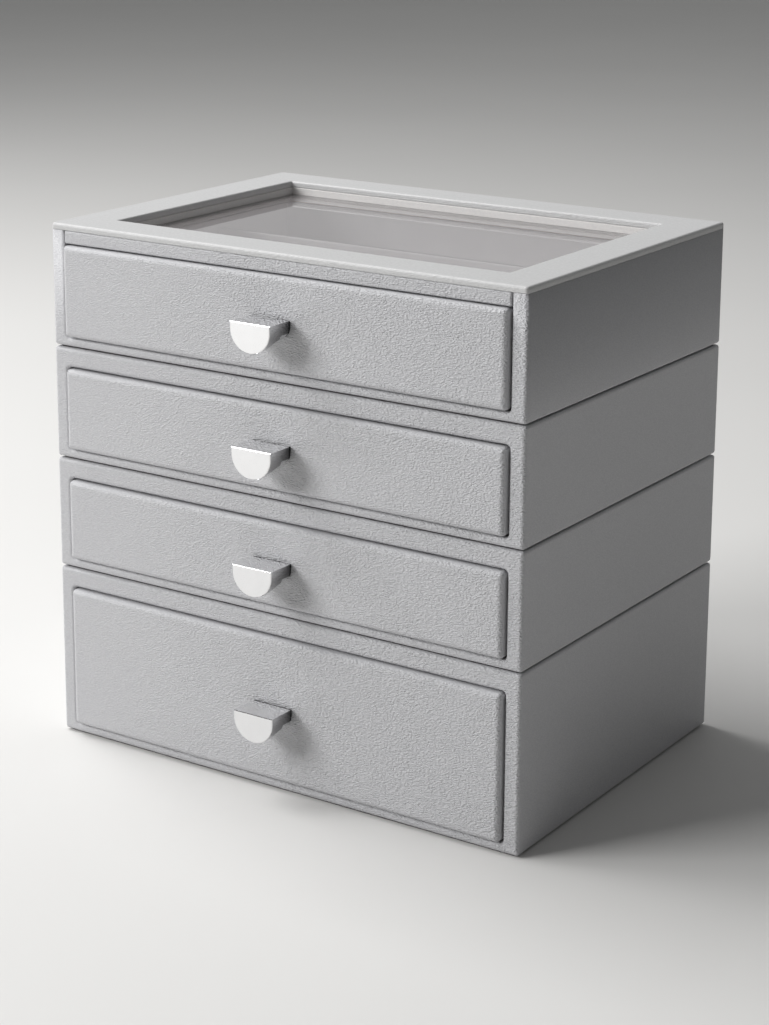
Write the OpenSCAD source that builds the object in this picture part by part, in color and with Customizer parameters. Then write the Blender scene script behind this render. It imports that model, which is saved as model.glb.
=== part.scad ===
// Stacking jewellery box set: four leather-covered drawer units set one on another.
// The top unit has a window frame with a glass pane over its drawer, two units are
// shallow and alike, and the bottom unit is deep. Each drawer has a half-round knob.
// Millimetres, +Z up. The front faces -Y. The origin is on the surface that the stack
// stands on, at the middle of the whole outline, knobs included.

/* [Stack] */
// Width of every unit, across the front
case_w = 250; // [180:1:340]
// Depth of every unit, from its front face to its back face
case_d = 178; // [130:1:240]
// Height of the top unit, up to the underside of its window frame
top_unit_h = 54.5; // [46:0.5:90]
// Height of each of the two shallow units
shallow_unit_h = 53; // [42:0.5:90]
// Height of the deep bottom unit
deep_unit_h = 82; // [60:1:140]

/* [Case] */
// Width of the stiles beside a drawer, which is where the side walls' inner faces lie
stile_w = 7.6; // [6:0.1:12]
// Height of the rail over a drawer, cover included
rail_h = 9; // [7:0.5:16]
// Height of the top unit's separate front rail
top_rail_h = 6; // [4.5:0.5:12]
// Depth of the top unit's separate front rail
top_rail_d = 12; // [9:0.5:18]
// Height of the sill under a drawer, pad and cover included
sill_h = 5; // [4:0.2:9]
// Depth of the front frame, from the front face back
frame_d = 8; // [5:0.5:14]
// Thickness of a top panel
top_panel_t = 5; // [3:0.5:8]
// Thickness of a back panel
back_t = 6; // [3:0.5:10]
// Thickness of the leather cover
cover_t = 0.6; // [0.4:0.1:1.2]
// Radius of a case's upright corners
corner_r = 1.7; // [0.8:0.1:4]
// Radius of the corners of a drawer opening
opening_r = 1.8; // [1:0.1:4]
// Thickness of the suede pad under a unit
pad_t = 0.8; // [0.5:0.1:2]
// How far the pad stops short of the unit's sides
pad_inset = 2; // [1:0.5:8]
// Width of the seams at the two ends of the top unit's front rail
seam_w = 0.5; // [0.2:0.1:1]
// Depth of those seams
seam_d = 1.5; // [0.5:0.1:3]

/* [Window] */
// Thickness of the window frame on the top unit
lid_t = 3; // [2:0.5:6]
// Width of the window frame's border, on all four sides
lid_border = 21.5; // [14:0.5:36]
// Radius of the window's inner corners
window_r = 0.8; // [0.4:0.1:3]
// How far the pane's upper face lies below the underside of the window frame
pane_drop = 3.6; // [1:0.1:6]
// Thickness of the glass pane
pane_t = 2; // [1:0.5:4]
// How far the pane reaches under the border on each side
pane_lap = 4; // [2:0.5:8]
// Clearance round the pane
pane_gap = 0.3; // [0.1:0.1:1]
// Height of the bead that holds the pane up
bead_t = 1.4; // [0.8:0.1:3]
// Width of that bead
bead_w = 3; // [1.5:0.5:6]

/* [Drawers] */
// Gap all round a drawer front
front_gap = 0.6; // [0.3:0.1:1.5]
// How far a drawer front stands out from the case
front_proud = 2.5; // [0:0.1:6]
// Thickness of a drawer front
front_t = 9; // [6:0.5:14]
// Radius of a drawer front's corners
front_r = 1.8; // [0.8:0.1:4]
// Gap between a tray and each side wall
tray_side_gap = 1; // [0.5:0.1:3]
// Gap between the closed tray and the back panel
tray_back_gap = 3; // [1:0.5:12]
// Gap under a tray, over the bottom panel
tray_lift = 0.3; // [0.2:0.1:1]
// Gap between a tray's rim and the roof of its case
tray_head_gap = 3; // [1:0.5:12]
// Thickness of a tray's side and back walls
tray_wall = 3; // [2:0.5:6]
// Thickness of a tray's front wall, behind the drawer front
tray_front_wall = 5; // [4:0.5:8]
// Thickness of a tray's floor
tray_floor = 2.5; // [2:0.5:5]
// Thickness of the velvet lining
lining_t = 0.8; // [0.5:0.1:1.5]
// Thickness of a divider board
divider_t = 2.4; // [1.6:0.2:4]
// Gap between the dividers and the lining they stand in
divider_gap = 0.3; // [0.1:0.1:1]
// How far the dividers stop below a tray's rim
divider_drop = 4; // [2:0.5:12]
// Depth of the back row of cells, as a share of the tray's
back_row_share = 0.37; // [0.25:0.01:0.7]

/* [Knobs] */
// Width of a knob, along the drawer front
knob_w = 21; // [14:0.5:30]
// Height of a knob's half-round face
knob_h = 13.2; // [9:0.1:20]
// How far a knob reaches out from its drawer front
knob_reach = 15; // [9:0.5:22]
// Height of a knob's root, as a share of the height of its face
knob_root_share = 0.57; // [0.52:0.01:0.8]
// Length of the root, from the drawer front to where the underside starts to sweep down
knob_root_l = 6.3; // [3:0.1:6.4]
// Thickness of the half-round face plate
knob_plate_t = 2.2; // [1:0.1:2.4]
// Chamfer along the root's two lower edges
knob_chamfer = 1.2; // [0.2:0.1:2]
// Shadow gap between a knob and its drawer front
knob_gap = 1.2; // [0.4:0.1:2]
// How far the neck in that gap stands back from the root's sides
knob_neck_inset = 0.3; // [0.3:0.1:1.5]
// How far a knob's root is centred below the middle of its opening
knob_drop = 0.8; // [-4:0.1:6]
// Diameter of a knob's screw
screw_d = 3.5; // [2.5:0.5:3.5]
// Clearance round the screw where it passes through the wood
screw_clear = 0.3; // [0.1:0.1:1]
// Clearance round the screw where it threads into the knob
thread_clear = 0.1; // [0.05:0.05:0.2]
// Diameter of the screw's head
head_d = 7; // [5.5:0.5:9]
// Height of the screw's head
head_h = 2.2; // [1.4:0.1:2.8]
// Clearance round and over the head in its pocket
head_clear = 0.3; // [0.2:0.1:1]
// How far the screw threads into a knob
thread_l = 6; // [4:0.5:8]

/* [Hidden] */
$fn = 48;

// Units from the top down: name, height, whether it is the one with the window,
// and how many cells its drawer has from side to side in the back row and the front row.
// A row count of 0 leaves the row out.
UNITS = [
    ["top", top_unit_h, true, 1, 1],
    ["upper", shallow_unit_h, false, 3, 3],
    ["lower", shallow_unit_h, false, 3, 1],
    ["base", deep_unit_h, false, 2, 0],
];
function name(u) = UNITS[u][0];
function height(u) = UNITS[u][1];
function windowed(u) = UNITS[u][2];
function back_cells(u) = UNITS[u][3];
function front_cells(u) = UNITS[u][4];

// Level of the surface that unit u stands on
function floor_z(u) = u == len(UNITS) - 1 ? 0 : floor_z(u + 1) + height(u + 1);
function roof_z(u) = floor_z(u) + height(u);

CASE_PIECES = [
    "cover", "front_frame", "left_wall", "right_wall", "back_panel", "bottom_panel", "base_pad"
];
ROOF_PIECES = ["top_panel"];
WINDOW_PIECES = ["front_rail", "window_frame", "pane_frame", "glass_pane", "pane_bead"];
DRAWER_PIECES = ["drawer_front", "tray", "lining", "divider", "knob", "knob_screw"];
function pieces(u) =
    concat(CASE_PIECES, windowed(u) ? WINDOW_PIECES : ROOF_PIECES, DRAWER_PIECES);

cut = 1; // overshoot of a cutting shape past the face that it cuts

// Case
half_w = case_w / 2;
front_y = -(case_d - front_proud - knob_reach) / 2;
back_y = front_y + case_d;
opening_half_w = half_w - stile_w;
back_inner_y = back_y - cover_t - back_t;

// Underside of the boards, over the pad and the cover
function board_z(u) = floor_z(u) + pad_t + cover_t;

// Head of the opening over the drawer of unit u, and the sill under it
function head_z(u) = roof_z(u) - (windowed(u) ? top_rail_h : rail_h);
function sill_z(u) = floor_z(u) + sill_h;

// Window
pane_seat_h = pane_drop + pane_t + bead_t;
window_half_w = half_w - lid_border;
window_front_y = front_y + lid_border;
window_back_y = back_y - lid_border;

// Drawers
board_front_y = front_y - front_proud;
tray_front_y = board_front_y + front_t;
tray_back_y = back_inner_y - tray_back_gap;
tray_half_w = opening_half_w - tray_side_gap;
well_half_w = tray_half_w - tray_wall;
well_front_y = tray_front_y + tray_front_wall;
well_back_y = tray_back_y - tray_wall;
function tray_z(u) = sill_z(u) + tray_lift;
function rim_z(u) =
    (windowed(u) ? roof_z(u) - pane_seat_h : roof_z(u) - rail_h) - tray_head_gap;
function well_z(u) = tray_z(u) + tray_floor;
function cell_floor_z(u) = well_z(u) + lining_t;

// Dividers
cell_half_w = well_half_w - lining_t - divider_gap;
cell_front_y = well_front_y + lining_t + divider_gap;
cell_back_y = well_back_y - lining_t - divider_gap;
long_divider_y = cell_back_y - (cell_back_y - cell_front_y) * back_row_share;

// Knobs
function knob_z(u) = (head_z(u) + sill_z(u)) / 2 - knob_drop;
knob_half_w = knob_w / 2;
knob_root_h = knob_h * knob_root_share;
knob_top = knob_root_h / 2;
knob_straight = knob_h - knob_half_w;
knob_root_half_w = sqrt(pow(knob_half_w, 2) - pow(max(knob_root_h - knob_straight, 0), 2));

// Flat rounded rectangle about the origin
module rounded_rect(w, h, r) {
    square([w - 2 * r, h], center = true);
    square([w, h - 2 * r], center = true);
    for (x = [-1, 1], y = [-1, 1])
        translate([x * (w / 2 - r), y * (h / 2 - r)]) circle(r);
}

// Box from one corner to the opposite one
module box(low, high) {
    translate(low) cube(high - low);
}

// Rounded plate that stands upright along Y, between two levels
module upright_plate(half, low_z, high_z, low_y, high_y, r) {
    translate([0, high_y, (low_z + high_z) / 2])
        rotate([90, 0, 0])
            linear_extrude(high_y - low_y) rounded_rect(2 * half, high_z - low_z, r);
}

// Rounded block that lies flat, with round upright corners
module flat_block(half, low_y, high_y, low_z, high_z, r) {
    translate([0, (low_y + high_y) / 2, low_z])
        linear_extrude(high_z - low_z) rounded_rect(2 * half, high_y - low_y, r);
}

// The block that the cover is wrapped round, with round upright corners
module core(u) {
    flat_block(half_w - cover_t, front_y + cover_t, back_y - cover_t,
        board_z(u), roof_z(u) - cover_t, corner_r - cover_t);
}

// The hollow that a drawer slides in, grown by the given amount, cut from the front face
module opening(u, grow, depth) {
    top_z = windowed(u) ? roof_z(u) + opening_r + cut : head_z(u) + grow;
    upright_plate(opening_half_w + grow, sill_z(u) - grow, top_z,
        front_y - cut, front_y + depth, opening_r + grow);
}

// Leather cover: a skin all round the boards, turned into the opening.
// On the windowed unit the roof is open between the walls.
module cover(u) {
    color("#bcbdc0") {
        difference() {
            flat_block(half_w, front_y, back_y, floor_z(u) + pad_t, roof_z(u), corner_r);
            core(u);
            opening(u, 0, frame_d);
            if (windowed(u))
                box([-opening_half_w, front_y - cut, head_z(u)],
                    [opening_half_w, back_inner_y, roof_z(u) + cut]);
        }
        intersection() {
            difference() {
                opening(u, cover_t, frame_d);
                opening(u, 0, frame_d + cut);
            }
            box([-half_w, front_y, floor_z(u)], [half_w, back_y, roof_z(u)]);
        }
    }
}

// Wooden frame behind the front face, round the opening
module front_frame(u) {
    color("#b59a74")
        difference() {
            intersection() {
                core(u);
                box([-half_w, front_y, floor_z(u)], [half_w, front_y + frame_d, roof_z(u)]);
            }
            opening(u, cover_t, frame_d + cut);
        }
}

module side_wall(u, side) {
    color("#b59a74")
        intersection() {
            core(u);
            box([side < 0 ? -half_w : opening_half_w, front_y + frame_d, floor_z(u)],
                [side < 0 ? -opening_half_w : half_w, back_y, roof_z(u)]);
        }
}

module back_panel(u) {
    color("#b59a74")
        box([-opening_half_w, back_inner_y, board_z(u)],
            [opening_half_w, back_y - cover_t, roof_z(u) - cover_t]);
}

module bottom_panel(u) {
    color("#b59a74")
        box([-opening_half_w, front_y + frame_d, board_z(u)],
            [opening_half_w, back_inner_y, sill_z(u)]);
}

module top_panel(u) {
    color("#b59a74")
        box([-opening_half_w, front_y + frame_d, roof_z(u) - cover_t - top_panel_t],
            [opening_half_w, back_inner_y, roof_z(u) - cover_t]);
}

// Suede pad that the unit stands on
module base_pad(u) {
    color("#8b8789")
        flat_block(half_w - pad_inset, front_y + pad_inset, back_y - pad_inset,
            floor_z(u), floor_z(u) + pad_t, corner_r);
}

// Leather-covered rail over the top drawer, with a seam at each end
module front_rail(u) {
    color("#bcbdc0")
        difference() {
            box([-opening_half_w, front_y, head_z(u)],
                [opening_half_w, front_y + top_rail_d, roof_z(u)]);
            for (side = [-1, 1])
                translate([side * opening_half_w, front_y, head_z(u)])
                    cube([2 * seam_w, 2 * seam_d, 4 * top_rail_h], center = true);
        }
}

// Leather-covered border that lies on the top unit, round the window
module window_frame(u) {
    color("#cdcfcf")
        difference() {
            flat_block(half_w, front_y, back_y, roof_z(u), roof_z(u) + lid_t, corner_r);
            flat_block(window_half_w, window_front_y, window_back_y,
                roof_z(u) - cut, roof_z(u) + lid_t + cut, window_r);
        }
}

// Inner frame under the border, rebated from below for the pane
module pane_frame(u) {
    pane_top = roof_z(u) - pane_drop;
    seat = pane_lap + pane_gap;
    color("#cfcdca")
        difference() {
            box([-opening_half_w, front_y + top_rail_d, roof_z(u) - pane_seat_h],
                [opening_half_w, back_inner_y, roof_z(u)]);
            flat_block(window_half_w, window_front_y, window_back_y,
                roof_z(u) - pane_seat_h - cut, roof_z(u) + cut, window_r);
            box([-window_half_w - seat, window_front_y - seat, roof_z(u) - pane_seat_h - cut],
                [window_half_w + seat, window_back_y + seat, pane_top]);
        }
}

module glass_pane(u) {
    pane_top = roof_z(u) - pane_drop;
    color("#dfe8ea", 0.35)
        box([-window_half_w - pane_lap, window_front_y - pane_lap, pane_top - pane_t],
            [window_half_w + pane_lap, window_back_y + pane_lap, pane_top]);
}

// Bead under the edge of the pane, in the same rebate
module pane_bead(u) {
    low_z = roof_z(u) - pane_seat_h;
    seat = pane_lap + pane_gap;
    color("#cfcdca")
        difference() {
            box([-window_half_w - seat, window_front_y - seat, low_z],
                [window_half_w + seat, window_back_y + seat, low_z + bead_t]);
            box([-window_half_w - seat + bead_w, window_front_y - seat + bead_w, low_z - cut],
                [window_half_w + seat - bead_w, window_back_y + seat - bead_w,
                    low_z + bead_t + cut]);
        }
}

// Hole along Y through the drawer front and tray for the knob's screw
module screw_hole(u, diameter, low_y, high_y) {
    translate([0, high_y, knob_z(u)])
        rotate([90, 0, 0]) cylinder(d = diameter, h = high_y - low_y);
}

// Leather-covered board of a drawer
module drawer_front(u) {
    color("#babbbf")
        difference() {
            upright_plate(opening_half_w - front_gap, sill_z(u) + front_gap,
                head_z(u) - front_gap, board_front_y, tray_front_y, front_r);
            screw_hole(u, screw_d + screw_clear, board_front_y - cut, tray_front_y + cut);
        }
}

// Open wooden tray behind the drawer front, with a pocket for the screw's head. Its lower
// edges are rounded like the corners of the opening that it slides through.
module tray(u) {
    pocket_y = well_front_y - head_h - head_clear;
    color("#c2ab86")
        difference() {
            intersection() {
                upright_plate(tray_half_w, tray_z(u), rim_z(u) + opening_r,
                    tray_front_y, tray_back_y, opening_r);
                box([-half_w, tray_front_y, tray_z(u)], [half_w, tray_back_y, rim_z(u)]);
            }
            box([-well_half_w, well_front_y, well_z(u)],
                [well_half_w, well_back_y, rim_z(u) + cut]);
            screw_hole(u, screw_d + screw_clear, tray_front_y - cut, well_front_y + cut);
            screw_hole(u, head_d + 2 * head_clear, pocket_y, well_front_y + cut);
        }
}

// Velvet over the floor and walls of the tray's well
module lining(u) {
    color("#8f8788")
        difference() {
            box([-well_half_w, well_front_y, well_z(u)], [well_half_w, well_back_y, rim_z(u)]);
            box([-well_half_w + lining_t, well_front_y + lining_t, cell_floor_z(u)],
                [well_half_w - lining_t, well_back_y - lining_t, rim_z(u) + cut]);
        }
}

// Boards across one row of cells, standing between two depths
module cross_boards(u, count, low_y, high_y) {
    pitch = 2 * cell_half_w / count;
    if (count > 1)
        for (i = [1 : count - 1])
            box([i * pitch - cell_half_w - divider_t / 2, low_y, cell_floor_z(u)],
                [i * pitch - cell_half_w + divider_t / 2, high_y, rim_z(u) - divider_drop]);
}

// Velvet-covered dividers, lifted out in one piece. With one row of cells only, the boards
// run from front to back.
module divider(u) {
    color("#968e8f")
        if (front_cells(u) == 0)
            cross_boards(u, back_cells(u), cell_front_y, cell_back_y);
        else {
            box([-cell_half_w, long_divider_y - divider_t / 2, cell_floor_z(u)],
                [cell_half_w, long_divider_y + divider_t / 2, rim_z(u) - divider_drop]);
            cross_boards(u, back_cells(u), long_divider_y, cell_back_y);
            cross_boards(u, front_cells(u), cell_front_y, long_divider_y);
        }
}

// Half-round outline of a knob seen from the front, with its root's middle at the origin
module knob_outline() {
    translate([0, knob_top - knob_straight]) {
        intersection() {
            circle(knob_half_w, $fn = 96);
            translate([-knob_w, -knob_h]) square([2 * knob_w, knob_h]);
        }
        translate([-knob_half_w, 0]) square([knob_w, knob_straight]);
    }
}

// Knob: the half-round outline carried back towards the drawer. Behind its face plate the
// underside sweeps up in an arc to the flat bottom of the root, whose two lower edges are
// chamfered. A smaller neck crosses the shadow gap. The arc is level at the root, or upright
// at the plate where the drop is longer than the run.
module knob(u) {
    run = knob_reach - knob_plate_t - knob_root_l;
    drop = knob_h - knob_root_h;
    low = knob_top - knob_root_h;
    sweep_r = (pow(run, 2) + pow(drop, 2)) / (2 * min(run, drop));
    centre_y = run >= drop ? knob_root_l : knob_root_l + run - sweep_r;
    centre_z = run >= drop ? low - sweep_r : low - drop;
    color("#d9dadb")
        translate([0, board_front_y, knob_z(u)])
            difference() {
                union() {
                    translate([0, -knob_gap, 0])
                        rotate([90, 0, 0]) linear_extrude(knob_reach - knob_gap) knob_outline();
                    box([-knob_root_half_w + knob_neck_inset, -knob_gap - cut,
                            low + knob_neck_inset],
                        [knob_root_half_w - knob_neck_inset, 0, knob_top - knob_neck_inset]);
                }
                intersection() {
                    translate([-knob_w, -centre_y, centre_z])
                        rotate([0, 90, 0]) cylinder(r = sweep_r, h = 2 * knob_w, $fn = 96);
                    box([-knob_w, knob_plate_t - knob_reach, -2 * knob_h],
                        [knob_w, -knob_root_l, low]);
                }
                box([-knob_w, -knob_root_l, -2 * knob_h], [knob_w, cut, low]);
                for (side = [-1, 1])
                    translate([side * knob_root_half_w, cut, low])
                        rotate([90, 45, 0])
                            translate([0, 0, (knob_root_l + cut) / 2])
                                cube([knob_chamfer * sqrt(2), knob_chamfer * sqrt(2),
                                    knob_root_l + cut], center = true);
                rotate([90, 0, 0])
                    translate([0, 0, -cut])
                        cylinder(d = screw_d + thread_clear, h = thread_l + cut + head_clear);
            }
}

// Screw from the head's pocket in the tray, through the drawer front, into the knob
module knob_screw(u) {
    head_y = well_front_y - head_h;
    color("#a8a9ab")
        translate([0, 0, knob_z(u)]) {
            translate([0, head_y, 0])
                rotate([90, 0, 0]) cylinder(d = screw_d, h = head_y - board_front_y + thread_l);
            translate([0, well_front_y, 0]) rotate([90, 0, 0]) cylinder(d = head_d, h = head_h);
        }
}

for (u = [0 : len(UNITS) - 1]) {
    cover(u);
    front_frame(u);
    side_wall(u, -1);
    side_wall(u, 1);
    back_panel(u);
    bottom_panel(u);
    base_pad(u);
    drawer_front(u);
    tray(u);
    lining(u);
    divider(u);
    knob(u);
    knob_screw(u);
    if (windowed(u)) {
        front_rail(u);
        window_frame(u);
        pane_frame(u);
        glass_pane(u);
        pane_bead(u);
    } else {
        top_panel(u);
    }
}
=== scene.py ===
import math

import bpy
import numpy as np
from mathutils import Matrix, Vector


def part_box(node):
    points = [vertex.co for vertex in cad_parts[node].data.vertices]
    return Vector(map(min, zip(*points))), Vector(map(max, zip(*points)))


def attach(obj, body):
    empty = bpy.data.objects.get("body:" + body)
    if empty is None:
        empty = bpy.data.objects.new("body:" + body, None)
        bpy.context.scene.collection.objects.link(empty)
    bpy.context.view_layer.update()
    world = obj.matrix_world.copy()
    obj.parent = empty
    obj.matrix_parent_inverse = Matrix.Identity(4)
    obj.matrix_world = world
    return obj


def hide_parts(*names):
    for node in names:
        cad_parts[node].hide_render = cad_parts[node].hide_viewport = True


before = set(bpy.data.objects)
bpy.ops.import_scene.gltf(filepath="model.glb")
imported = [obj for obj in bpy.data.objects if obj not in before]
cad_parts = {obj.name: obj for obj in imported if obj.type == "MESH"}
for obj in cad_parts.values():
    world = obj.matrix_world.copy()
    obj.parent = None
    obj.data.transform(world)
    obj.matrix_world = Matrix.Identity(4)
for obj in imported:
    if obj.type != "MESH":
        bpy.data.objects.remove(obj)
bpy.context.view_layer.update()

MM = 0.001

UNITS = ["top", "upper", "lower", "base"]

# Sizes of the real pieces that the frame's boxes don't give. An edge is the radius of a
# rounded edge, and a corner the radius of an outline's corner.

# Cover of a case
COVER_T = 0.6 * MM  # leather
FRAME_D = 8 * MM  # how deep the cover is turned into an opening
BACK_INSET = 8 * MM  # where one flat face takes over on the back
CORNER_R = 1.7 * MM  # upright corners of a case
RIDGE_R = 1.3 * MM  # edges that run from front to back
MOUTH_R = 1.7 * MM  # edge of a drawer opening
OPENING_R = 1.8 * MM  # corners of a drawer opening

# Drawer front and suede pad
FRONT_GAP = 0.6 * MM  # round a drawer front
FRONT_EDGE = 2.3 * MM
FRONT_CORNER = 1.8 * MM
PAD_EDGE = 0.15 * MM
PAD_CORNER = 1.6 * MM
HIDDEN_EDGE = 0.3 * MM  # back edges of a drawer front and of the rail

# Lining of a tray
LINING_T = 0.8 * MM
LINING_INSET = 10 * MM  # where one flat face takes over on the floor
LINING_FILLET = 1.8 * MM  # between the floor and the walls
LINING_RIM = 0.35 * MM
LINING_FOOT = 0.3 * MM  # lower outer edge
LINING_CORNER = 1.2 * MM

# Divider boards
BOARD_T = 2.4 * MM
BOARD_TOP = 1.15 * MM  # edge along the top
BOARD_FOOT = 0.2 * MM  # edge along the lower side
BOARD_CORNER = 0.4 * MM
BOARD_END = 1.1 * MM  # from the lining's outer face to the end of a board
BACK_ROW_SHARE = 0.37  # depth of the back row of cells, as a share of the whole
CELLS = {"top": (1, 1), "upper": (3, 3), "lower": (3, 1), "base": (2, 0)}  # back row, front row

# Knob
KNOB_ROOT_SHARE = 0.57  # height of the root, as a share of the whole
KNOB_ROOT_L = 6.3 * MM
KNOB_PLATE_T = 2.2 * MM
KNOB_CHAMFER = 1.2 * MM
KNOB_BEVEL = 0.3 * MM
KNOB_GAP = 1.2 * MM  # shadow gap between the knob and the leather
KNOB_NECK_INSET = 0.3 * MM
# Painted shade: how far the knob's face is dimmed
FACE_PAINTED_SHADE = 0.12

# Rail and window
RAIL_SEAM = 0.2 * MM  # at each end
RAIL_DROP = 0.02 * MM  # below the window frame
RAIL_EDGE = 0.8 * MM
RAIL_CORNER = 0.7 * MM
LID_BORDER = 21.5 * MM
LID_EDGE = 1.3 * MM  # outer edge of the border
LID_INNER_EDGE = 1.0 * MM
LID_LOWER_EDGE = 0.45 * MM
LID_INNER_CORNER = 0.5 * MM
PANE_DROP = 3.6 * MM  # from the border's top to the pane
PANE_SEAT = 4.3 * MM  # width of the rebate over the pane
PANE_WALL_EDGE = 0.5 * MM  # upper inner edge of the inner frame
PANE_OUTER_EDGE = 0.6 * MM
PANE_LOWER_EDGE = 0.2 * MM
PANE_SHARP_EDGE = 0.1 * MM  # where the wall meets the pane
PANE_CORNER = 0.3 * MM

HOLD = 0.3 * MM  # how close to a bend the flat faces start, so that they shade flat
STEP = 0.1 * MM  # the same on the small knob
LEAST_R = 0.03 * MM  # a corner never gets sharper than this
TINY = 1e-9  # two lengths closer than this are the same
SHARP_ANGLE = math.radians(40)  # faces that meet at more than this keep a hard edge

# Patterns, in repeats per metre
HIDE_PATCHES = 24.0  # slack and full parts of the hide, about 40 mm wide
NAP_PATCHES = 55.0  # brushed patches, about 18 mm
BOARD_FIBRES = 900.0  # about 1.1 mm, coarser than real fibre so that they show
BOARD_FLECKS = 620.0  # about 1.6 mm
POLISH_WAVES = 260.0  # waviness of a polished face, about 4 mm
GLASS_SMEARS = 30.0  # about 33 mm
FLOOR_CLOUDS = 3.0  # about 330 mm
GLASS_BLOOM = 0.17  # share of the light that dust on the glass scatters

# Camera and lamps, in metres
CAMERA_PLACE = (0.7047, -0.7877, 0.4357)  # from the case's lower front left corner
CAMERA_YAW = math.radians(-33.58)
CAMERA_PITCH = math.radians(13.5)
CAMERA_ROLL = math.radians(0.302)
LAMP_AIM = (0, 0, 0.1)
FLOOR_HALF = 6.0


# ---------------------------------------------------------------- surfaces


def rounded_path(points, radii, steps=6, closed=False):
    """Path through the points with each corner replaced by an arc tangent to both of its legs.
    The arc's centre lies on the corner's bisector at r over the sine of half the angle. Just
    before and after each arc stands one more point, which keeps the legs flat."""
    points = np.array(points, float)
    count = len(points)
    corners = range(count) if closed else range(1, count - 1)
    parts = [] if closed else [points[:1]]
    for i in corners:
        here = points[i]
        back = points[i - 1] - here
        ahead = points[(i + 1) % count] - here
        back /= np.linalg.norm(back)
        ahead /= np.linalg.norm(ahead)
        half = math.acos(np.clip(back @ ahead, -1, 1)) / 2
        r = max(radii[i], 1e-6)
        reach = r / math.tan(half)
        centre = here + (back + ahead) / np.linalg.norm(back + ahead) * r / math.sin(half)
        first = here + back * reach - centre
        last = here + ahead * reach - centre
        sweep = math.pi - 2 * half
        t = np.linspace(0, 1, steps + 1)[:, None]
        arc = (np.sin((1 - t) * sweep) * first + np.sin(t * sweep) * last) / math.sin(sweep)
        parts += [
            (here + back * (reach + HOLD))[None],
            centre + arc,
            (here + ahead * (reach + HOLD))[None],
        ]
    if not closed:
        parts.append(points[-1:])
    return np.vstack(parts)


def rectangle_rings(low, high, radius, open_top=False, steps=6):
    """One rounded rectangle for each row of low, high and radius, counter-clockwise. A corner's
    points are its arc's centre plus r times (cosine, sine), with one more point a little way
    along each side. With an open top the ring is a U, from the top left to the top right."""
    first = np.array([np.pi, 1.5 * np.pi] if open_top else [np.pi, 1.5 * np.pi, 0, 0.5 * np.pi])
    sign = np.array([[-1, -1], [1, -1], [1, 1], [-1, 1]])[: len(first)]
    turn = np.r_[0, np.linspace(0, np.pi / 2, steps + 1), np.pi / 2]
    slide = np.r_[-HOLD, np.zeros(steps + 1), HOLD]
    angle = (first[:, None] + turn).ravel()
    slide = np.tile(slide, len(first))
    sign = np.repeat(sign, len(turn), axis=0)
    r = radius[:, None]
    side_x = np.where(sign[:, 0] > 0, high[:, :1], low[:, :1])
    side_y = np.where(sign[:, 1] > 0, high[:, 1:], low[:, 1:])
    x = side_x - sign[:, 0] * r + r * np.cos(angle) - slide * np.sin(angle)
    y = side_y - sign[:, 1] * r + r * np.sin(angle) + slide * np.cos(angle)
    rings = np.stack([x, y], axis=2)
    if open_top:
        left = np.stack([low[:, 0], high[:, 1]], axis=1)[:, None]
        right = high[:, None]
        rings = np.concatenate([left, rings, right], axis=1)
    return rings


def grid_faces(rows, columns, closed_rows, closed_columns):
    """Quads between neighbouring rows and columns of a grid, numbered row by row."""
    i = np.arange(rows if closed_rows else rows - 1)[:, None]
    j = np.arange(columns if closed_columns else columns - 1)[None]
    here, below = i * columns, (i + 1) % rows * columns
    right = (j + 1) % columns
    quads = np.stack([here + j, below + j, below + right, here + right], axis=2)
    return quads.reshape(-1, 4)


def surface(name, grid, closed_rows=False, closed_columns=True, caps=(True, True)):
    """Mesh object from a grid of points, rows by columns by 3. A cap closes the first or the
    last row with one flat face."""
    rows, columns = grid.shape[:2]
    faces = grid_faces(rows, columns, closed_rows, closed_columns).tolist()
    if caps[0]:
        faces.append(list(range(columns)))
    if caps[1]:
        faces.append(list(range(rows * columns - 1, (rows - 1) * columns - 1, -1)))
    mesh = bpy.data.meshes.new(name)
    mesh.from_pydata(grid.reshape(-1, 3).tolist(), [], faces)
    mesh.validate()
    mesh.shade_smooth()
    mesh.set_sharp_from_angle(angle=SHARP_ANGLE)
    made = bpy.data.objects.new(name, mesh)
    bpy.context.scene.collection.objects.link(made)
    return made


def loft(low, high, path, corner, axis, inner=None, zones=(0, 0), inner_corner=0, open_top=False):
    """Grid of rounded rectangles along a path of (inset, depth) points. The outline from low to
    high is drawn in by the inset. With an inner outline, an inset up to the first zone is
    measured from the outer outline and one in the last zone from the inner one, and between
    them each side moves in proportion. The corner radius shrinks with an outer inset and grows
    with the distance from the inner outline. The depth lies along the axis, 1 for Y or 2 for Z."""
    inset, depth = path[:, 0], path[:, 1]
    low, high = np.array(low, float), np.array(high, float)
    radius = np.maximum(corner - inset, LEAST_R)
    draw_low = np.stack([inset, inset], axis=1)
    draw_high = draw_low.copy()
    if inner is not None:
        nominal = inner[0][0] - low[0]
        knots = [0, zones[0], nominal - zones[1], nominal]
        for k in (0, 1):
            for drawn, width in ((draw_low, inner[0][k] - low[k]), (draw_high, high[k] - inner[1][k])):
                drawn[:, k] = np.interp(inset, knots, [0, zones[0], width - zones[1], width])
        near = [corner, max(corner - zones[0], LEAST_R), inner_corner + zones[1], inner_corner]
        radius = np.interp(inset, knots, near)
    if open_top:
        draw_high[:, 1] = 0
    rings = rectangle_rings(low + draw_low, high - draw_high, radius, open_top)
    depth = np.broadcast_to(depth[:, None, None], rings.shape[:2] + (1,))
    order = [rings[..., :1], depth, rings[..., 1:]] if axis == 1 else [rings, depth]
    return np.concatenate(order, axis=2)


def block_path(near, far, near_r, far_r, reach):
    """Path of a closed block: in from the middle of its near face, round its edges, and back to
    the middle of its far face."""
    points = [(reach, near), (0, near), (0, far), (reach, far)]
    return rounded_path(points, [0, near_r, far_r, 0])


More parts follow.
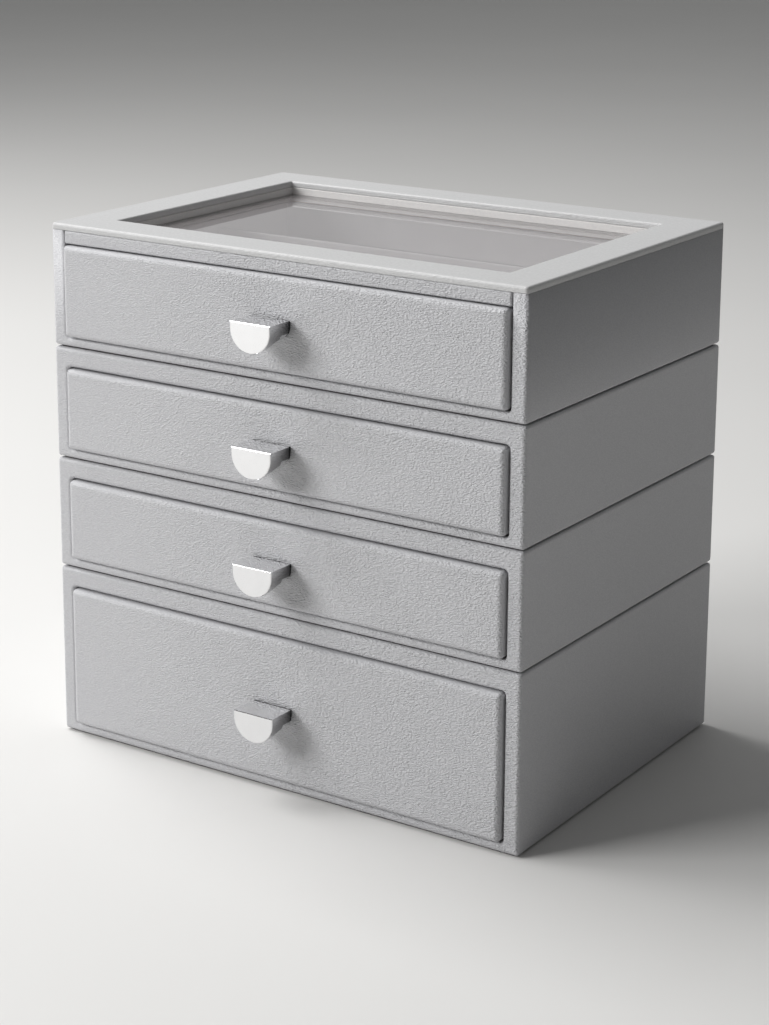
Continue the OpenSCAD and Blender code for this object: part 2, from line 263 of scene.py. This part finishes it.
def block(name, low, high, edge, corner, axis, far_edge=None):
    """Block with rounded edges. Its near face looks along -Y or +Z, and the edges round its far
    face may have a radius of their own."""
    far_edge = edge if far_edge is None else far_edge
    reach = max(edge, far_edge) + 2 * HOLD
    if axis == 1:
        path = block_path(low[1], high[1], edge, far_edge, reach)
        grid = loft([low[0], low[2]], [high[0], high[2]], path, corner, 1)
    else:
        path = block_path(high[2], low[2], edge, far_edge, reach)
        grid = loft(low[:2], high[:2], path, corner, 2)
    return surface(name, grid)


def join(name, parts):
    """One object from one or more."""
    bpy.ops.object.select_all(action="DESELECT")
    for part in parts:
        part.select_set(True)
    bpy.context.view_layer.objects.active = parts[0]
    if len(parts) > 1:
        bpy.ops.object.join()
    parts[0].name = name
    parts[0].data.name = name
    return parts[0]


# ---------------------------------------------------------------- materials


def colour(code):
    """Linear colour from an sRGB hex code: below 0.04045 a twelfth, above it a 2.4 power."""
    parts = np.array([int(code[i : i + 2], 16) for i in (1, 3, 5)]) / 255
    linear = np.where(parts <= 0.04045, parts / 12.92, ((parts + 0.055) / 1.055) ** 2.4)
    return (*linear.tolist(), 1.0)


def add(tree, kind, inputs=None, **settings):
    """Adds a node. Each input is a number, a colour or another node's output."""
    made = tree.nodes.new(kind)
    for key, value in settings.items():
        setattr(made, key, value)
    for key, value in (inputs or {}).items():
        if isinstance(value, bpy.types.NodeSocket):
            tree.links.new(value, made.inputs[key])
        else:
            made.inputs[key].default_value = value
    return made


def new_material(name):
    """Empty material, its node tree, and the object coordinates in metres."""
    made = bpy.data.materials.new(name)
    made.use_nodes = True
    tree = made.node_tree
    tree.nodes.clear()
    place = add(tree, "ShaderNodeTexCoord").outputs["Object"]
    return made, tree, place


def finish_material(tree, shader):
    """Ends a material at its shader."""
    add(tree, "ShaderNodeOutputMaterial", {"Surface": shader})


def leather(name, shade, crease_shade_and_tone, grain_mm, depth_mm, roughness, seed):
    """Pebbled leather: full-grain hide, embossed, dyed pale grey and sealed with a satin finish.
    Its grain is a net of short wrinkles about grain_mm apart, twice as wide as they are high.
    Its colour is nearly even: painted shade makes the hollows of the grain a little darker, and
    the hide's patches vary its tone at random; the wrinkles show mostly by light and shade. They
    stand out on what faces the front, less so at its left end, and the hide is pulled smoother
    over the sides and the top. The seed lays the pattern in another place on each hide."""
    made, tree, place = new_material(name)
    size = 1 / (grain_mm * MM)
    laid = add(tree, "ShaderNodeMapping", {
        "Vector": place, "Location": (seed * 0.037, seed * 0.011, seed * 0.023),
        "Scale": (0.5, 0.7, 1.0)})
    wander = add(tree, "ShaderNodeTexNoise", {
        "Vector": laid.outputs[0], "Scale": size * 0.35, "Detail": 1.0, "Roughness": 0.5})
    pushed = add(tree, "ShaderNodeMixRGB", {
        "Fac": 0.9 * grain_mm * MM, "Color1": laid.outputs[0], "Color2": wander.outputs["Color"]},
        blend_type="LINEAR_LIGHT")
    cells = add(tree, "ShaderNodeTexVoronoi", {
        "Vector": pushed.outputs[0], "Scale": size, "Smoothness": 0.5, "Randomness": 0.9},
        feature="SMOOTH_F1")
    folds = add(tree, "ShaderNodeTexNoise", {
        "Vector": laid.outputs[0], "Scale": size * 1.25, "Detail": 1.0, "Roughness": 0.4})
    hide = add(tree, "ShaderNodeTexNoise", {
        "Vector": place, "Scale": HIDE_PATCHES, "Detail": 1.0, "Roughness": 0.5})
    pebble = add(tree, "ShaderNodeMapRange", {
        "Value": cells.outputs["Distance"], "From Min": 0.1, "From Max": 0.7,
        "To Min": 1.0, "To Max": 0.0}, interpolation_type="SMOOTHSTEP")
    height = add(tree, "ShaderNodeMath", {
        0: folds.outputs["Fac"], 1: 1.9, 2: pebble.outputs[0]}, operation="MULTIPLY_ADD")
    shade_and_mottling = add(tree, "ShaderNodeMath", {
        0: hide.outputs["Fac"], 1: 0.6, 2: height.outputs[0]}, operation="MULTIPLY_ADD")
    # Painted shade: the hollows of the grain take the darker colour, mixed with the hide's patches,
    # which vary the tone at random
    tint = add(tree, "ShaderNodeMapRange", {
        "Value": shade_and_mottling.outputs[0], "From Min": 0.9, "From Max": 2.1})
    base = add(tree, "ShaderNodeMixRGB", {
        "Fac": tint.outputs[0], "Color1": colour(crease_shade_and_tone), "Color2": colour(shade)})
    shine = add(tree, "ShaderNodeMapRange", {
        "Value": height.outputs[0], "From Min": 0.7, "From Max": 2.1,
        "To Min": roughness + 0.08, "To Max": roughness - 0.06})
    normal = add(tree, "ShaderNodeNewGeometry").outputs["Normal"]
    facing = add(tree, "ShaderNodeSeparateXYZ", {"Vector": normal})
    along = add(tree, "ShaderNodeSeparateXYZ", {"Vector": place})
    worn = add(tree, "ShaderNodeMapRange", {
        "Value": along.outputs["X"], "From Min": -0.12, "From Max": 0.0,
        "To Min": 0.4, "To Max": 1.0}, interpolation_type="SMOOTHSTEP")
    frontal = add(tree, "ShaderNodeMath", {0: facing.outputs["Y"]}, operation="ABSOLUTE")
    taut = add(tree, "ShaderNodeMapRange", {
        "Value": frontal.outputs[0], "From Min": 0.1, "From Max": 0.8,
        "To Min": 0.15, "To Max": 1.0})
    fullness = add(tree, "ShaderNodeMapRange", {
        "Value": hide.outputs["Fac"], "From Min": 0.3, "From Max": 0.6,
        "To Min": 0.75, "To Max": 1.0})
    relief = add(tree, "ShaderNodeMath", {
        0: taut.outputs[0], 1: fullness.outputs[0]}, operation="MULTIPLY")
    relief = add(tree, "ShaderNodeMath", {
        0: relief.outputs[0], 1: worn.outputs[0]}, operation="MULTIPLY")
    bump = add(tree, "ShaderNodeBump", {
        "Height": height.outputs[0], "Strength": relief.outputs[0], "Distance": depth_mm * MM})
    shader = add(tree, "ShaderNodeBsdfPrincipled", {
        "Base Color": base.outputs[0], "Roughness": shine.outputs[0], "IOR": 1.45,
        "Normal": bump.outputs[0], "Specular IOR Level": 0.5})
    finish_material(tree, shader.outputs[0])
    return made


def napped(name, shade, shadow, fibre_mm, depth_mm, sheen, roughness):
    """Napped cloth, velvet or suede: short upright fibres that scatter light at grazing angles,
    brushed in patches that lie a little lighter or darker. Fibres are about 0.1 mm thick, and
    drawn coarser here so that they show."""
    made, tree, place = new_material(name)
    fibres = add(tree, "ShaderNodeTexNoise", {
        "Vector": place, "Scale": 1 / (fibre_mm * MM), "Detail": 3.0, "Roughness": 0.7})
    brushed = add(tree, "ShaderNodeTexNoise", {
        "Vector": place, "Scale": NAP_PATCHES, "Detail": 2.0, "Roughness": 0.5, "Distortion": 0.6})
    lie = add(tree, "ShaderNodeMath", {
        0: brushed.outputs["Fac"], 1: 0.7, 2: fibres.outputs["Fac"]}, operation="MULTIPLY_ADD")
    tint = add(tree, "ShaderNodeMapRange", {
        "Value": lie.outputs[0], "From Min": 0.55, "From Max": 1.15})
    base = add(tree, "ShaderNodeMixRGB", {
        "Fac": tint.outputs[0], "Color1": colour(shadow), "Color2": colour(shade)})
    bump = add(tree, "ShaderNodeBump", {
        "Height": fibres.outputs["Fac"], "Strength": 0.8, "Distance": depth_mm * MM})
    shader = add(tree, "ShaderNodeBsdfPrincipled", {
        "Base Color": base.outputs[0], "Roughness": roughness, "IOR": 1.4,
        "Normal": bump.outputs[0], "Specular IOR Level": 0.15, "Sheen Weight": sheen,
        "Sheen Roughness": 0.35})
    finish_material(tree, shader.outputs[0])
    return made


def board(name, shade, shadow, roughness, fleck):
    """Pressed fibreboard, bare or painted: fine wood fibre in every direction, with darker
    flecks where it is bare. Fleck is how dark they are, and 0 under paint."""
    made, tree, place = new_material(name)
    fibre = add(tree, "ShaderNodeTexNoise", {
        "Vector": place, "Scale": BOARD_FIBRES, "Detail": 4.0, "Roughness": 0.7,
        "Distortion": 0.4})
    flecks = add(tree, "ShaderNodeTexVoronoi", {"Vector": place, "Scale": BOARD_FLECKS})
    dark = add(tree, "ShaderNodeMapRange", {
        "Value": flecks.outputs["Distance"], "From Min": 0.0, "From Max": 0.35,
        "To Min": fleck, "To Max": 0.0})
    tint = add(tree, "ShaderNodeMath", {
        0: fibre.outputs["Fac"], 1: dark.outputs[0]}, operation="SUBTRACT")
    spread = add(tree, "ShaderNodeMapRange", {
        "Value": tint.outputs[0], "From Min": 0.3, "From Max": 0.7})
    base = add(tree, "ShaderNodeMixRGB", {
        "Fac": spread.outputs[0], "Color1": colour(shadow), "Color2": colour(shade)})
    bump = add(tree, "ShaderNodeBump", {
        "Height": fibre.outputs["Fac"], "Strength": 0.5, "Distance": 0.05 * MM})
    shader = add(tree, "ShaderNodeBsdfPrincipled", {
        "Base Color": base.outputs[0], "Roughness": roughness, "Normal": bump.outputs[0]})
    finish_material(tree, shader.outputs[0])
    return made


def metal(name, shade, dull, polish, rough_spread, bump_mm, marks_per_m):
    """Plated or turned metal. Fine polishing marks vary its gloss, and a faint waviness breaks
    up what it mirrors. An attribute darkens it with painted shade, from 0 for bright to 1 for
    black."""
    made, tree, place = new_material(name)
    marks = add(tree, "ShaderNodeTexNoise", {
        "Vector": place, "Scale": marks_per_m, "Detail": 4.0, "Roughness": 0.65})
    wave = add(tree, "ShaderNodeTexNoise", {
        "Vector": place, "Scale": POLISH_WAVES, "Detail": 1.0, "Roughness": 0.4})
    gloss = add(tree, "ShaderNodeMapRange", {
        "Value": marks.outputs["Fac"], "From Min": 0.3, "From Max": 0.7,
        "To Min": polish, "To Max": polish + rough_spread})
    base = add(tree, "ShaderNodeMixRGB", {
        "Fac": wave.outputs["Fac"], "Color1": colour(dull), "Color2": colour(shade)})
    # Painted shade: this attribute blends the metal towards near black
    tarnish = add(tree, "ShaderNodeAttribute", attribute_name="tarnish")
    base = add(tree, "ShaderNodeMixRGB", {
        "Fac": tarnish.outputs["Fac"], "Color1": base.outputs[0], "Color2": colour("#0c0c0d")})
    bump = add(tree, "ShaderNodeBump", {
        "Height": wave.outputs["Fac"], "Strength": 0.4, "Distance": bump_mm * MM})
    shader = add(tree, "ShaderNodeBsdfPrincipled", {
        "Base Color": base.outputs[0], "Metallic": 1.0, "Roughness": gloss.outputs[0],
        "Normal": bump.outputs[0]})
    finish_material(tree, shader.outputs[0])
    return made


def window_glass(name):
    """Clear float glass, 2 mm thick: it mirrors more the flatter it is looked along, and
    lets the rest through with a trace of green-grey. A thin bloom of dust pales what lies
    behind it, and faint smears vary its gloss."""
    made, tree, place = new_material(name)
    smears = add(tree, "ShaderNodeTexNoise", {
        "Vector": place, "Scale": GLASS_SMEARS, "Detail": 3.0, "Roughness": 0.5,
        "Distortion": 1.2})
    gloss = add(tree, "ShaderNodeMapRange", {
        "Value": smears.outputs["Fac"], "From Min": 0.35, "From Max": 0.75,
        "To Min": 0.012, "To Max": 0.04})
    through = add(tree, "ShaderNodeBsdfTransparent", {"Color": colour("#f6f8f8")})
    bloom = add(tree, "ShaderNodeBsdfDiffuse", {"Color": colour("#e6dfe0")})
    clear = add(tree, "ShaderNodeMixShader", {
        0: GLASS_BLOOM, 1: through.outputs[0], 2: bloom.outputs[0]})
    mirror = add(tree, "ShaderNodeBsdfGlossy", {
        "Color": colour("#ffffff"), "Roughness": gloss.outputs[0]})
    share = add(tree, "ShaderNodeFresnel", {"IOR": 1.52})
    back = add(tree, "ShaderNodeNewGeometry").outputs["Backfacing"]
    front = add(tree, "ShaderNodeMath", {0: 1.0, 1: back}, operation="SUBTRACT")
    share = add(tree, "ShaderNodeMath", {
        0: share.outputs[0], 1: front.outputs[0]}, operation="MULTIPLY")
    mixed = add(tree, "ShaderNodeMixShader", {
        0: share.outputs[0], 1: clear.outputs[0], 2: mirror.outputs[0]})
    finish_material(tree, mixed.outputs[0])
    return made


MATERIALS = {
    "case_leather": leather("pebbled_leather_cover", shade="#bebec0", crease_shade_and_tone="#b6b6b9",
                            grain_mm=0.66, depth_mm=0.27, roughness=0.42, seed=0),
    "front_leather": leather("pebbled_leather_front", shade="#bebec0", crease_shade_and_tone="#b6b6b9",
                             grain_mm=0.66, depth_mm=0.27, roughness=0.42, seed=3),
    "lid_leather": leather("pebbled_leather_window_frame", shade="#c2c2c2", crease_shade_and_tone="#bdbdbd",
                           grain_mm=0.72, depth_mm=0.09, roughness=0.45, seed=7),
    "trim_leather": leather("smooth_leather_trim", shade="#d4d2d0", crease_shade_and_tone="#cecccb",
                            grain_mm=0.7, depth_mm=0.02, roughness=0.45, seed=11),
    "velvet": napped("cotton_velvet_lining", shade="#d0c9ca", shadow="#c1b9ba",
                     fibre_mm=0.45, depth_mm=0.12, sheen=0.5, roughness=0.85),
    "suede": napped("suede_pad", shade="#6f6c6e", shadow="#5c595b",
                    fibre_mm=0.6, depth_mm=0.1, sheen=0.3, roughness=0.9),
    "fibreboard": board("bare_fibreboard", shade="#b89d78", shadow="#957a58",
                        roughness=0.8, fleck=0.25),
    "painted": board("painted_fibreboard", shade="#b5b0ae", shadow="#a8a3a1",
                     roughness=0.55, fleck=0.0),
    "chrome": metal("polished_chrome", shade="#f2f2f3", dull="#ececed",
                    polish=0.07, rough_spread=0.06, bump_mm=0.01, marks_per_m=3000.0),
    "steel": metal("zinc_plated_steel", shade="#b9bbbd", dull="#a3a5a8",
                   polish=0.3, rough_spread=0.15, bump_mm=0.02, marks_per_m=1800.0),
    "glass": window_glass("clear_float_glass"),
}

# Finish of each CAD node that shows as it is, by the ending of its name
CAD_FINISH = {
    "front_frame": "fibreboard", "left_wall": "fibreboard", "right_wall": "fibreboard",
    "back_panel": "fibreboard", "bottom_panel": "fibreboard", "top_panel": "fibreboard",
    "tray": "painted", "pane_bead": "painted", "glass_pane": "glass", "knob_screw": "steel",
}


def dress(piece, finish, body, replaced):
    """Gives a piece its material and its body, and hides the CAD node that it stands for."""
    piece.data.materials.clear()
    piece.data.materials.append(MATERIALS[finish])
    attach(piece, body)
    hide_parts(replaced)


for node_name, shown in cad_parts.items():
    for ending, finish in CAD_FINISH.items():
        if node_name.endswith("_" + ending):
            shown.data.materials.clear()
            shown.data.materials.append(MATERIALS[finish])


# ---------------------------------------------------------------- pieces of a unit


def opening_of(unit):
    """Lowest and highest corner, in X and Z, of the opening round a drawer front."""
    low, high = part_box(unit + "_drawer_front")
    return ([low[0] - FRONT_GAP, low[2] - FRONT_GAP],
            [high[0] + FRONT_GAP, high[2] + FRONT_GAP])


def make_cover(unit):
    """Leather skin of a case. One path runs out of the opening, round its edge, across the
    front, round the upright corners, along the sides and on to the back. The skin gets its
    thickness inwards. The top unit's skin has no roof: its rings are open at the top."""
    low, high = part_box(unit + "_cover")
    windowed = unit == "top"
    mouth = opening_of(unit)
    front, back = low[1], high[1]
    width = mouth[0][0] - low[0]
    points = [(width, front + FRAME_D), (width, front), (0, front), (0, back),
              (BACK_INSET, back)]
    path = rounded_path(points, [0, MOUTH_R, CORNER_R, CORNER_R, 0])
    grid = loft([low[0], low[2]], [high[0], high[2]], path, RIDGE_R, 1, inner=mouth,
                zones=(CORNER_R, MOUTH_R), inner_corner=OPENING_R, open_top=windowed)
    made = surface(unit + ".leather_cover", grid, closed_columns=not windowed, caps=(False, True))
    skin = made.modifiers.new("skin", "SOLIDIFY")
    skin.thickness = COVER_T
    skin.offset = -1
    dress(made, "case_leather", unit + "_case", unit + "_cover")


def make_front(unit):
    """Leather-covered drawer front: a board with soft edges and small corners."""
    low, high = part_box(unit + "_drawer_front")
    made = block(unit + ".leather_drawer_front", low, high, FRONT_EDGE, FRONT_CORNER, 1,
                 HIDDEN_EDGE)
    dress(made, "front_leather", unit + "_drawer",
          unit + "_drawer_front")


def make_pad(unit):
    """Suede pad under a unit."""
    low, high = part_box(unit + "_base_pad")
    made = block(unit + ".suede_pad", low, high, PAD_EDGE, PAD_CORNER, 2)
    dress(made, "suede", unit + "_case", unit + "_base_pad")


def make_lining(unit):
    """Velvet over the inside of a tray: out across the floor, up through a soft fillet, over
    the rim and down behind. It is turned over the rim with a rounded edge."""
    low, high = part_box(unit + "_lining")
    under, over, rim = low[2], low[2] + LINING_T, high[2]
    points = [(LINING_INSET, over), (LINING_T, over), (LINING_T, rim), (0, rim), (0, under),
              (LINING_INSET, under)]
    path = rounded_path(points, [0, LINING_FILLET, LINING_RIM, LINING_RIM, LINING_FOOT, 0])
    grid = loft(low[:2], high[:2], path, LINING_CORNER, 2)
    made = surface(unit + ".velvet_lining", grid)
    dress(made, "velvet", unit + "_drawer", unit + "_lining")


def make_dividers(unit):
    """Velvet-covered divider boards with round top edges, standing on the lining. The long
    board runs from side to side, and the others from it to the back and to the front. In a
    tray with one row of cells there is no long board, and they run from front to back."""
    low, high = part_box(unit + "_divider")
    lining_low, lining_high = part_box(unit + "_lining")
    back_cells, front_cells = CELLS[unit]
    boards = []
    if front_cells:
        back, front = lining_high[1] - BOARD_END, lining_low[1] + BOARD_END
        middle = back - (back - front) * BACK_ROW_SHARE
        boards.append(((low[0], middle - BOARD_T / 2), (high[0], middle + BOARD_T / 2)))
        rows = [(back_cells, middle, back), (front_cells, front, middle)]
    else:
        rows = [(back_cells, low[1], high[1])]
    half = lining_high[0] - BOARD_END
    for count, near, far in rows:
        for x in np.linspace(-half, half, count + 1)[1:-1]:
            boards.append(((x - BOARD_T / 2, near), (x + BOARD_T / 2, far)))
    parts = [
        block(f"{unit}.board{i}", (*first, low[2]), (*last, high[2]), BOARD_TOP, BOARD_CORNER, 2,
              BOARD_FOOT)
        for i, (first, last) in enumerate(boards)
    ]
    made = join(unit + ".velvet_dividers", parts)
    dress(made, "velvet", unit + "_drawer", unit + "_divider")


def make_knob(unit):
    """Half-round pull. Its outline is a half circle under a short straight part, flat on top,
    carried back to the drawer. At each distance the outline is cut off below the underside's
    height there: full height at the face plate, then an arc that sweeps up and meets the root's
    flat underside tangentially. Its radius is run squared plus drop squared, over twice the
    drop. The root's lower edges are chamfered. The face has a narrow bevel, and a smaller neck
    crosses the shadow gap: both draw the outline in towards the middle of the knob's width and
    height. Painted shade darkens the sides more towards the root, where they mirror the leather
    in the knob's shadow, paints the neck black as the shadow gap, and dims the face a little."""
    low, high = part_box(unit + "_knob")
    half_w = (high[0] - low[0]) / 2
    height, reach = high[2] - low[2], high[1] - low[1]
    straight = height - half_w
    plate = reach - KNOB_PLATE_T
    root_h = height * KNOB_ROOT_SHARE
    run, drop = plate - KNOB_ROOT_L, height - root_h
    sweep_r = (run**2 + drop**2) / (2 * drop)
    turn = np.linspace(np.pi, 2 * np.pi, 97)
    flat = np.array([1, 0.97, 0, -0.97, -1]) * half_w  # from right to left
    side = np.array([-0.04, -0.5])  # shares of the straight part, downwards
    x = np.r_[flat, [-half_w] * 2, half_w * np.cos(turn), [half_w] * 2]
    z = np.r_[flat * 0, side * straight, half_w * np.sin(turn) - straight,
              side[::-1] * straight]
    sweep = np.linspace(KNOB_ROOT_L, plate, 25)[::-1]
    away = np.r_[reach, reach - KNOB_BEVEL, reach - KNOB_BEVEL - STEP, sweep, KNOB_ROOT_L - STEP,
                 KNOB_GAP + STEP, KNOB_GAP, KNOB_GAP, 0]
    inset = np.zeros(len(away))
    inset[0] = KNOB_BEVEL
    inset[-2:] = KNOB_NECK_INSET
    lift = np.sqrt(np.maximum(sweep_r**2 - (away - KNOB_ROOT_L) ** 2, 0)) - sweep_r
    bottom = np.where(away < KNOB_ROOT_L, 0, lift) - root_h
    bottom = np.where(away > plate + TINY, -height, bottom)[:, None]
    root_half_w = math.sqrt(half_w**2 - (root_h - straight) ** 2)
    edge = bottom + np.abs(x) - root_half_w + KNOB_CHAMFER
    edge = np.where(away[:, None] <= KNOB_ROOT_L + TINY, edge, -height)
    down = np.minimum(np.maximum(np.maximum(z[None], bottom), edge), 0)
    inset, half_h = inset[:, None], height / 2
    across = x[None] * (half_w - inset) / half_w
    down = -half_h + (down + half_h) * (half_h - inset) / half_h
    middle = (low[0] + high[0]) / 2
    grid = np.stack([across + middle, np.broadcast_to(high[1] - away[:, None], down.shape),
                     down + high[2]], axis=2)
    made = surface(unit + ".chrome_knob", grid)
    # Painted shade: the sides darken towards the root, where they mirror the leather in the knob's
    # shadow, the neck is painted black as the shadow gap, and the face is dimmed a little
    on_side = (z[None] < -STEP) & (down < -STEP) & (z[None] > np.maximum(bottom, edge))
    tarnish = np.where(on_side, 0.9 - 0.8 * (away / reach)[:, None], 0)
    tarnish[0] = FACE_PAINTED_SHADE
    tarnish[away < KNOB_GAP + TINY] = 1
    layer = made.data.attributes.new("tarnish", "FLOAT", "POINT")
    layer.data.foreach_set("value", tarnish.astype(np.float32).ravel())
    dress(made, "chrome", unit + "_drawer", unit + "_knob")


for unit in UNITS:
    make_cover(unit)
    make_front(unit)
    make_pad(unit)
    make_lining(unit)
    make_dividers(unit)
    make_knob(unit)


# ---------------------------------------------------------------- the top unit's window


def make_rail():
    """Leather-covered rail over the top drawer, a hair shorter than the space between the
    stiles, so that a seam shows at each end."""
    low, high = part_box("top_front_rail")
    made = block("top.leather_rail", (low[0] + RAIL_SEAM, low[1], low[2]),
                 (high[0] - RAIL_SEAM, high[1], high[2] - RAIL_DROP), RAIL_EDGE, RAIL_CORNER, 1,
                 HIDDEN_EDGE)
    dress(made, "case_leather", "top_case", "top_front_rail")


def window_opening():
    """Lowest and highest corner, in X and Y, of the opening in the border."""
    low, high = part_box("top_window_frame")
    return ([low[0] + LID_BORDER, low[1] + LID_BORDER],
            [high[0] - LID_BORDER, high[1] - LID_BORDER])


def make_window_frame():
    """Leather-covered border: a flat strip with round edges, carried round the window."""
    low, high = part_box("top_window_frame")
    points = [(LID_BORDER, low[2]), (LID_BORDER, high[2]), (0, high[2]), (0, low[2])]
    path = rounded_path(points, [LID_LOWER_EDGE, LID_INNER_EDGE, LID_EDGE, LID_LOWER_EDGE],
                        closed=True)
    grid = loft(low[:2], high[:2], path, CORNER_R, 2, inner=window_opening(),
                zones=(LID_EDGE, LID_INNER_EDGE), inner_corner=LID_INNER_CORNER)
    made = surface("top.leather_window_frame", grid, closed_rows=True, caps=(False, False))
    dress(made, "lid_leather", "top_case", "top_window_frame")


def make_pane_frame():
    """Inner frame: the smooth wall between the border and the pane, with a rebate below that
    the pane sits in."""
    low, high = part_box("top_pane_frame")
    opening = window_opening()
    wide = opening[0][0] - low[0]
    pane = high[2] - PANE_DROP
    seat = wide - PANE_SEAT
    points = [(wide, pane), (wide, high[2]), (0, high[2]), (0, low[2]), (seat, low[2]), (seat, pane)]
    path = rounded_path(points, [PANE_SHARP_EDGE, PANE_WALL_EDGE, PANE_OUTER_EDGE, PANE_LOWER_EDGE,
                                 PANE_LOWER_EDGE, PANE_LOWER_EDGE], closed=True)
    grid = loft(low[:2], high[:2], path, PANE_CORNER, 2, inner=opening,
                zones=(PANE_OUTER_EDGE, PANE_SEAT + HOLD), inner_corner=PANE_CORNER)
    made = surface("top.leather_pane_frame", grid, closed_rows=True, caps=(False, False))
    dress(made, "trim_leather", "top_case", "top_pane_frame")


make_rail()
make_window_frame()
make_pane_frame()


# ---------------------------------------------------------------- floor, light and camera


def floor():
    """Pale matt floor, one large square."""
    made, tree, place = new_material("pale_matt_floor")
    cloud = add(tree, "ShaderNodeTexNoise", {"Vector": place, "Scale": FLOOR_CLOUDS, "Detail": 2.0})
    base = add(tree, "ShaderNodeMixRGB", {
        "Fac": cloud.outputs["Fac"], "Color1": colour("#d9d8d6"), "Color2": colour("#dedddb")})
    shader = add(tree, "ShaderNodeBsdfPrincipled", {
        "Base Color": base.outputs[0], "Roughness": 0.7})
    finish_material(tree, shader.outputs[0])
    corner = FLOOR_HALF * np.array([[-1, -1], [1, -1], [1, 1], [-1, 1]])
    mesh = bpy.data.meshes.new("floor")
    mesh.from_pydata(np.c_[corner, np.zeros(4)].tolist(), [], [(0, 1, 2, 3)])
    mesh.materials.append(made)
    ground = bpy.data.objects.new("floor", mesh)
    bpy.context.scene.collection.objects.link(ground)


def lamp(name, place, size, power):
    """White square soft box that looks at the middle of the object."""
    light = bpy.data.lights.new(name, "AREA")
    light.shape = "SQUARE"
    light.size = size
    light.energy = power
    box = bpy.data.objects.new(name, light)
    bpy.context.scene.collection.objects.link(box)
    box.location = place
    box.rotation_euler = (Vector(LAMP_AIM) - Vector(place)).to_track_quat("-Z", "Y").to_euler()


def camera():
    """Camera of a normal portrait view, turned to the right of the front and a little above."""
    level = math.cos(CAMERA_PITCH)
    ahead = Vector((math.sin(CAMERA_YAW) * level, math.cos(CAMERA_YAW) * level,
                    -math.sin(CAMERA_PITCH)))
    right = ahead.cross(Vector((0, 0, 1))).normalized()
    up = right.cross(ahead)
    tilted_right = right * math.cos(CAMERA_ROLL) + up * math.sin(CAMERA_ROLL)
    tilted_up = up * math.cos(CAMERA_ROLL) - right * math.sin(CAMERA_ROLL)
    data = bpy.data.cameras.new("camera")
    data.sensor_fit = "AUTO"
    data.sensor_width = 36
    data.lens = 82.3
    data.shift_y = -0.154
    made = bpy.data.objects.new("camera", data)
    bpy.context.scene.collection.objects.link(made)
    turn = Matrix((tilted_right, tilted_up, -ahead)).transposed()
    case_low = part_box("base_cover")[0]
    corner = Vector((case_low[0], case_low[1], 0))
    made.matrix_world = Matrix.Translation(corner + Vector(CAMERA_PLACE)) @ turn.to_4x4()
    bpy.context.scene.camera = made


def studio():
    """Dim even room with one broad pale wall behind and to the left, which fades outwards."""
    made = bpy.data.worlds.new("studio")
    made.use_nodes = True
    tree = made.node_tree
    tree.nodes.clear()
    place = add(tree, "ShaderNodeTexCoord").outputs["Generated"]
    toward = add(tree, "ShaderNodeVectorMath", {
        0: place, 1: (-0.33, 0.92, 0.21)}, operation="DOT_PRODUCT")
    glow = add(tree, "ShaderNodeMapRange", {
        "Value": toward.outputs["Value"], "From Min": 0.4, "From Max": 1.0,
        "To Min": 0.13, "To Max": 0.5}, interpolation_type="SMOOTHSTEP")
    room = add(tree, "ShaderNodeBackground", {
        "Color": colour("#f7f8f8"), "Strength": glow.outputs[0]})
    add(tree, "ShaderNodeOutputWorld", {"Surface": room.outputs[0]})
    bpy.context.scene.world = made


bpy.context.scene.view_settings.view_transform = "Standard"
studio()
floor()
lamp("window_light", place=(-1.9, -2.15, 1.6), size=1.4, power=73.0)
lamp("top_light", place=(-1.05, -0.1, 1.65), size=1.2, power=31.0)
camera()
